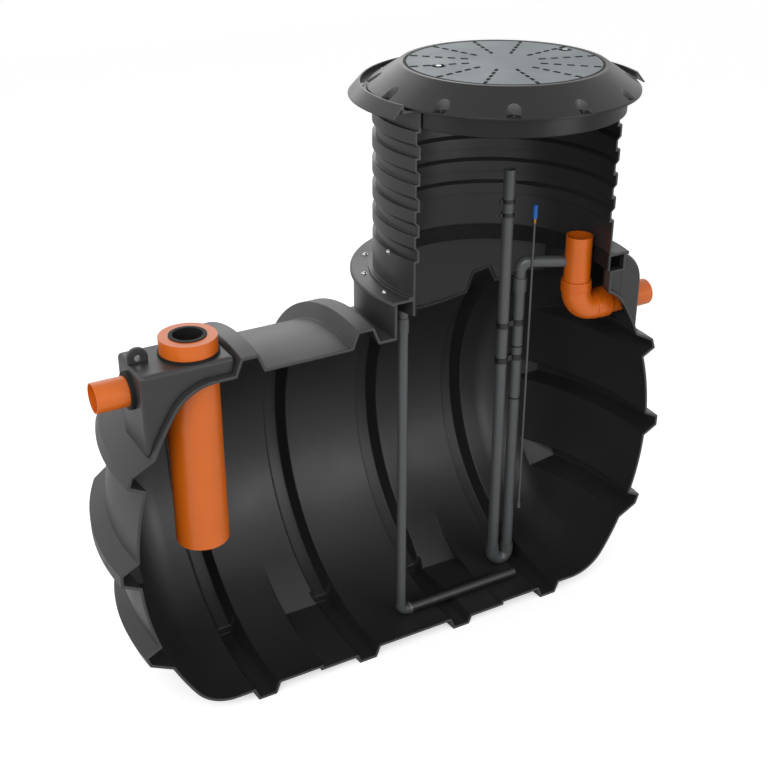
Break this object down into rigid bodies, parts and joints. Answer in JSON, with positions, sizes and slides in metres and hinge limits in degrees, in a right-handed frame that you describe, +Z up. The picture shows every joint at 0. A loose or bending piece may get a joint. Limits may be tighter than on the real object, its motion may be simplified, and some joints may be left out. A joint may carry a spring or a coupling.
{
  "type": "cutaway packaged sewage treatment plant",
  "caption": "Ribbed horizontal tank on flat feet, cut open lengthwise, with inlet dip pipe, air diffuser, airlift, outlet bend and a ribbed riser shaft under a round lid.",
  "frame": {"origin": "on the level ground under the feet, on the tank's axis and midway between its two middle hoop ribs", "axes": "+X along the tank from inlet to outlet, +Y away from the cut-open side, +Z up"},
  "size_m": [2.4802, 1.28, 2.386],
  "materials": {
    "tank_polyethylene": "satin moulded",
    "riser_polyethylene": "satin moulded",
    "lid_coated_iron": "matt cast pattern",
    "pipe_orange_pvc": "smooth",
    "pipe_grey_pvc": "smooth",
    "rubber": "matt",
    "black_plastic": "satin",
    "steel": "bright",
    "blue_plastic": "smooth"
  },
  "bodies": {
    "root": {"access_neck": "tank_polyethylene", "air_coupling": "pipe_grey_pvc", "air_elbow": "pipe_grey_pvc", "air_pipe": "pipe_grey_pvc", "air_pipe_clip": "black_plastic", "airlift_air_hose": "black_plastic", "airlift_bracket_high": "black_plastic", "airlift_bracket_low": "black_plastic", "airlift_coupling": "pipe_grey_pvc", "airlift_discharge_pipe": "pipe_grey_pvc", "airlift_elbow": "pipe_grey_pvc", "airlift_lift_pipe": "pipe_grey_pvc", "airlift_return_bend": "pipe_grey_pvc", "airlift_suction_pipe": "pipe_grey_pvc", "barrel_ring_1": "tank_polyethylene", "barrel_ring_2": "tank_polyethylene", "barrel_ring_3": "tank_polyethylene", "barrel_ring_4": "tank_polyethylene", "cap_base_seal": "rubber", "cap_inner_seal": "rubber", "cap_ring": "pipe_orange_pvc", "diffuser": "black_plastic", "diffuser_ring": "pipe_grey_pvc", "dip_pipe": "pipe_orange_pvc", "hose_connector": "blue_plastic", "inlet_box": "tank_polyethylene", "inlet_dome": "tank_polyethylene", "inlet_lifting_eye": "tank_polyethylene", "inlet_pipe": "pipe_orange_pvc", "inlet_seal": "rubber", "lid_fasteners": "steel", "lid_frame": "riser_polyethylene", "lid_frame_spigot": "riser_polyethylene", "lid_plate": "lid_coated_iron", "outlet_bend": "pipe_orange_pvc", "outlet_box": "tank_polyethylene", "outlet_dome": "tank_polyethylene", "outlet_lifting_eye": "tank_polyethylene", "outlet_low_socket": "pipe_orange_pvc", "outlet_pipe": "pipe_orange_pvc", "outlet_seal": "rubber", "outlet_side_socket": "pipe_orange_pvc", "outlet_standpipe": "pipe_orange_pvc", "riser_collar": "riser_polyethylene", "riser_rings_high": "riser_polyethylene", "riser_rings_low": "riser_polyethylene", "riser_rings_middle": "riser_polyethylene", "riser_shaft": "riser_polyethylene", "suction_pipe_clips": "black_plastic"}
  },
  "joints": []
}
